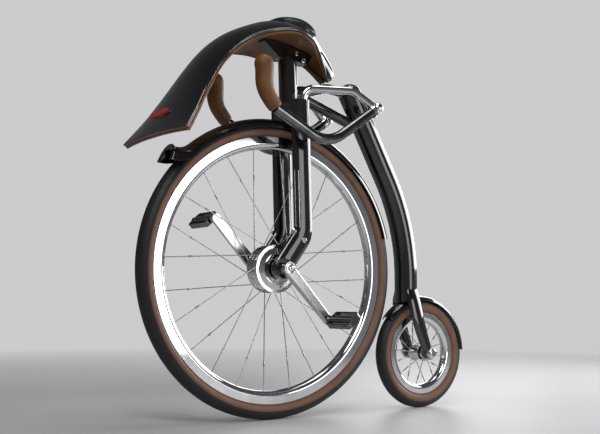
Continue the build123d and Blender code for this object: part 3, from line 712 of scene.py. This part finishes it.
for side, way in SIDES:
    leg_surface = tree_of(nodes["fork_leg_" + side])
    side_bolt = (spot(-60, way * 56, 72), (0, way, 0))
    front_bolt = (spot(-31, way * 51, 93), (0.57, way * 0.82, 0))
    bolts_name = "leg_bolts_" + side
    leg_bolts = lathed(bolts_name, BOLT_PROFILE, bolts_on([leg_surface], [side_bolt, front_bolt]), BOLT_SIDES)
    new_piece(bolts_name, leg_bolts, "steering", "chrome")
    for number, angle in enumerate(INLAY_ANGLES):
        inlay_name = "leg_line_%s_%d" % (side, number + 1)
        inlay = corded(inlay_name, inlay_line(leg_surface, way, angle), radius=0.9)
        new_piece(inlay_name, inlay, "steering", "chrome")

# Caps over the ends of the axle, on the outer faces of the cranks.
CAP_PROFILE = [
    (13.0, -0.5), (13.0, 0.8), (12.0, 1.6), (8.5, 1.8), (8.2, 0.8), (7.2, 0.8), (7.0, 3.2), (5.6, 4.2),
    (3.2, 4.4), (3.1, 2.0), (0.02, 2.0),
]
CAP_SIDES = 32
CRANK_FACE = 83.05
cap_places = [(spot(0, way * CRANK_FACE, 0), (0, way, 0)) for _, way in SIDES]
crank_caps = lathed("crank_caps", CAP_PROFILE, cap_places, CAP_SIDES)
new_piece("crank_caps", crank_caps, "front_wheel", "chrome")

# Wheels: nipples on the wires' outer ends, and low ribs at these millimetres from the middle of each tread.
WHEELS = (("front", FRONT_AXLE, (5, 9, 13)), ("rear", REAR_AXLE, (4, 8, 12)))
WIRE_END_POINTS = 8
NIPPLE_PROFILE = [(2.4, -1.0), (2.4, 2.5), (1.9, 3.5), (1.9, 11.0), (1.2, 12.0)]
NIPPLE_SIDES = 10
RIB_RADIUS = 1.0
RIB_SUNK = 0.6
RIB_STEPS = 180
OVER_TYRE = 500


def middle_of(points):
    """Mean of some points."""
    return sum(points, Vector()) / len(points)


def wire_ends(node, axle):
    """Inner and outer end of every wire of a wheel."""
    shape = bmesh.new()
    shape.from_mesh(welded(node))
    seen = set()
    ends = []
    for first in shape.verts:
        if first in seen:
            continue
        seen.add(first)
        waiting = [first]
        wire = []
        while waiting:
            point = waiting.pop()
            wire.append(point.co.copy())
            for edge in point.link_edges:
                other = edge.other_vert(point)
                if other not in seen:
                    seen.add(other)
                    waiting.append(other)
        wire.sort(key=lambda place: (place - axle).length)
        ends.append((middle_of(wire[:WIRE_END_POINTS]), middle_of(wire[-WIRE_END_POINTS:])))
    shape.free()
    return ends


def tread_rib(surface, axle, offset):
    """Ring round a tyre, at an offset from its middle, sunk a little into its surface."""
    centre = axle + Vector((0, offset * MM, 0))
    place, _ = hit(surface, centre + Vector((0, 0, OVER_TYRE * MM)), (0, 0, -1))
    reach = (place - centre).length - RIB_SUNK * MM
    angles = [2 * pi * k / RIB_STEPS for k in range(RIB_STEPS)]
    ring = [centre + Vector((cos(angle), 0, sin(angle))) * reach for angle in angles]
    return corded("rib", ring, RIB_RADIUS, closed=True)


for wheel, axle, _ in WHEELS:
    nipple_places = [(outer, inner - outer) for inner, outer in wire_ends(wheel + "_spokes", axle)]
    nipples_name = wheel + "_nipples"
    nipples = lathed(nipples_name, NIPPLE_PROFILE, nipple_places, NIPPLE_SIDES)
    new_piece(nipples_name, nipples, wheel + "_wheel", "wire")

for wheel, axle, rib_offsets in WHEELS:
    tyre_surface = tree_of(nodes[wheel + "_tyre"])
    ribs = [tread_rib(tyre_surface, axle, way * offset) for offset in rib_offsets for _, way in SIDES]
    tread_name = wheel + "_tread"
    new_piece(tread_name, joined(tread_name, ribs), wheel + "_wheel", wheel + "_tyre")

# Thin frame round the red lens on the tongue.
BEZEL_HALF_WIDE = 48.2
BEZEL_HALF_HIGH = 12.2
BEZEL_LIFT = 0.5
BEZEL_STEPS = 72
BEZEL_REACH = 60
lens_run, lens_out = saddle_run(LENS_STATION)
lens_middle = middle_of([Vector(corner) for corner in nodes["red_lens"].bound_box])
bezel_line = []
for k in range(BEZEL_STEPS):
    angle = 2 * pi * k / BEZEL_STEPS
    aside = Vector((0, BEZEL_HALF_WIDE * cos(angle), 0)) + lens_run * BEZEL_HALF_HIGH * sin(angle)
    place, normal = hit(shell_surface, lens_middle + (aside + lens_out * BEZEL_REACH) * MM, -lens_out)
    bezel_line.append(place + normal * BEZEL_LIFT * MM)
bezel = corded("lens_bezel", bezel_line, radius=1.4, closed=True)
new_piece("lens_bezel", bezel, "frame", "gloss_black")

# Stage: a pale floor that fades into a pale background, and a soft studio round it.

PALE = (0.60, 0.60, 0.61, 1.0)
SKY_GLOW = [(0.0, (0.20, 0.20, 0.21)), (0.25, (0.11, 0.11, 0.115)), (0.8, (0.06, 0.06, 0.063))]
world = bpy.data.worlds.new("studio")
scene.world = world
world.use_nodes = True
sky = world.node_tree
parted = sky.nodes.new("ShaderNodeSeparateXYZ")
feed(sky, parted, Vector=sky.nodes.new("ShaderNodeTexCoord").outputs["Generated"])
seen_or_not = add(sky, "ShaderNodeMixRGB", Color2=PALE)
feed(sky, seen_or_not, Fac=sky.nodes.new("ShaderNodeLightPath").outputs["Is Camera Ray"],
     Color1=ramp(sky, parted.outputs["Z"], SKY_GLOW))
feed(sky, sky.nodes["Background"], Color=seen_or_not.outputs["Color"])

FLOOR_HALF = 14.0
FADE_FROM = 0.9
FADE_TO = 3.4
FLOOR_PAINT = [(0.3, (0.58, 0.58, 0.59)), (0.7, (0.62, 0.62, 0.63))]
floor_mesh = bpy.data.meshes.new("floor")
corners = [(x * FLOOR_HALF, y * FLOOR_HALF, FLOOR) for x, y in ((-1, -1), (1, -1), (1, 1), (-1, 1))]
floor_mesh.from_pydata(corners, [], [(0, 1, 2, 3)])
floor = bpy.data.objects.new("floor", floor_mesh)
scene.collection.objects.link(floor)
floor_look, floor_tree, floor_shader, floor_place = started("floor_paint", Roughness=0.5)
mottled = noise(floor_tree, floor_place, scale=1.5)
feed(floor_tree, floor_shader, Base_Color=ramp(floor_tree, mottled, FLOOR_PAINT))
level_place = vector_math(floor_tree, "MULTIPLY", floor_place, (1, 1, 0)).outputs["Vector"]
away = vector_math(floor_tree, "LENGTH", level_place).outputs["Value"]
clear = floor_tree.nodes.new("ShaderNodeBsdfTransparent")
fading = floor_tree.nodes.new("ShaderNodeMixShader")
feed(floor_tree, fading, Fac=spread(floor_tree, away, 0.0, 1.0, FADE_FROM, FADE_TO))
floor_tree.links.new(floor_shader.outputs["BSDF"], fading.inputs[1])
floor_tree.links.new(clear.outputs["BSDF"], fading.inputs[2])
feed(floor_tree, floor_tree.nodes["Material Output"], Surface=fading.outputs["Shader"])
floor_mesh.materials.append(floor_look)


def softbox(name, place, target, size, power):
    """Rectangular studio light that faces a point. Size in metres, power in watts."""
    lamp = bpy.data.lights.new(name, "AREA")
    lamp.shape = "RECTANGLE"
    lamp.size, lamp.size_y = size
    lamp.energy = power
    holder = bpy.data.objects.new(name, lamp)
    holder.location = place
    holder.rotation_euler = (target - place).to_track_quat("-Z", "Y").to_euler()
    scene.collection.objects.link(holder)


MIDDLE = spot(-100, 0, 150)
softbox("key_light", spot(1500, 2300, 2300), MIDDLE, size=(1.4, 1.4), power=46.0)
softbox("side_light", spot(-945, 2400, 195), FRONT_AXLE, size=(1.0, 1.1), power=9.0)
softbox("rim_light", spot(-2500, 300, 650), MIDDLE, size=(2.0, 1.1), power=46.0)
softbox("back_light", spot(-2300, -1900, 900), MIDDLE, size=(1.2, 1.6), power=18.0)
softbox("top_light", spot(-300, 200, 2900), MIDDLE, size=(1.4, 1.4), power=20.0)

# The photograph's camera: turned to the left of straight across, tipped slightly up, nearly level.
YAW = radians(34.787)
PITCH = radians(4.896)
ROLL = radians(0.237)
CAMERA_PLACE = spot(1300.95, 1995.47, -72.95)
forward = Vector((-sin(YAW) * cos(PITCH), -cos(YAW) * cos(PITCH), sin(PITCH)))
level_right = Vector((-cos(YAW), sin(YAW), 0.0))
level_up = level_right.cross(forward)
camera_right = level_right * cos(ROLL) + level_up * sin(ROLL)
camera_up = level_up * cos(ROLL) - level_right * sin(ROLL)
camera = bpy.data.cameras.new("camera")
camera.sensor_width = 36.0
camera.lens = 57.05
camera_holder = bpy.data.objects.new("camera", camera)
camera_turn = Matrix((camera_right, camera_up, -forward)).transposed().to_4x4()
camera_holder.matrix_world = Matrix.Translation(CAMERA_PLACE) @ camera_turn
scene.collection.objects.link(camera_holder)
scene.camera = camera_holder

scene.view_settings.view_transform = "Standard"
